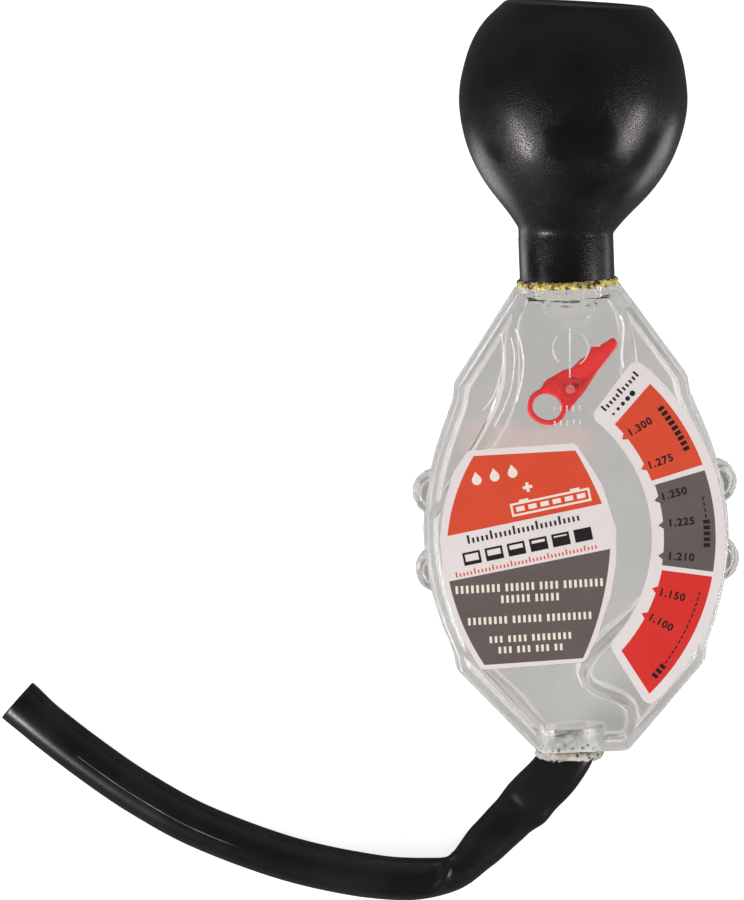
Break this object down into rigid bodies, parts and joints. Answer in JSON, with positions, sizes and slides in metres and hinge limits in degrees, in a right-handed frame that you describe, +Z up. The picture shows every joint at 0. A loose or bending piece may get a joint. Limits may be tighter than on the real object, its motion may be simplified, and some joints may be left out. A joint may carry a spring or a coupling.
{
  "type": "battery acid tester",
  "caption": "Squeeze-bulb tester for battery fluid: a clear welded two-part housing with a pivoted pointer inside, printed labels and a bent suction hose.",
  "frame": {"origin": "the ground below the middle of the tester's box, its hose left out; the tester lies on its back", "axes": "+Y runs from the hose socket to the bulb, +Z is up, out of the labelled front face, which tilts 7 degrees towards -Y; +X is to the right of someone who reads the labels"},
  "size_m": [0.1721, 0.2078, 0.0522],
  "materials": {
    "clear_plastic": "clear, polished, moulded",
    "bulb_rubber": "satin black",
    "hose_rubber": "smooth glossy black",
    "red_plastic": "moulded, slightly see-through red",
    "pale_plastic": "plain moulded",
    "printed_label": "white film with printed panels",
    "yellow_glue": "hardened, grainy",
    "clear_glue": "hardened, cloudy"
  },
  "bodies": {
    "tester": {"front_shell": "clear_plastic", "back_shell": "clear_plastic", "squeeze_bulb": "bulb_rubber", "bulb_glue_bead": "yellow_glue", "hose_glue_bead": "clear_glue", "pointer_pin": "pale_plastic", "info_label": "printed_label", "scale_label": "printed_label", "suction_hose": "hose_rubber"},
    "pointer": {"pointer": "red_plastic"}
  },
  "joints": [
    {"name": "pointer_pivot", "type": "hinge", "parent": "tester", "child": "pointer", "pos_m": [-0.0005, -0.00151, 0.01811], "axis": [0, -0.1215, 0.9926], "range_deg": [-3, 88]}
  ]
}
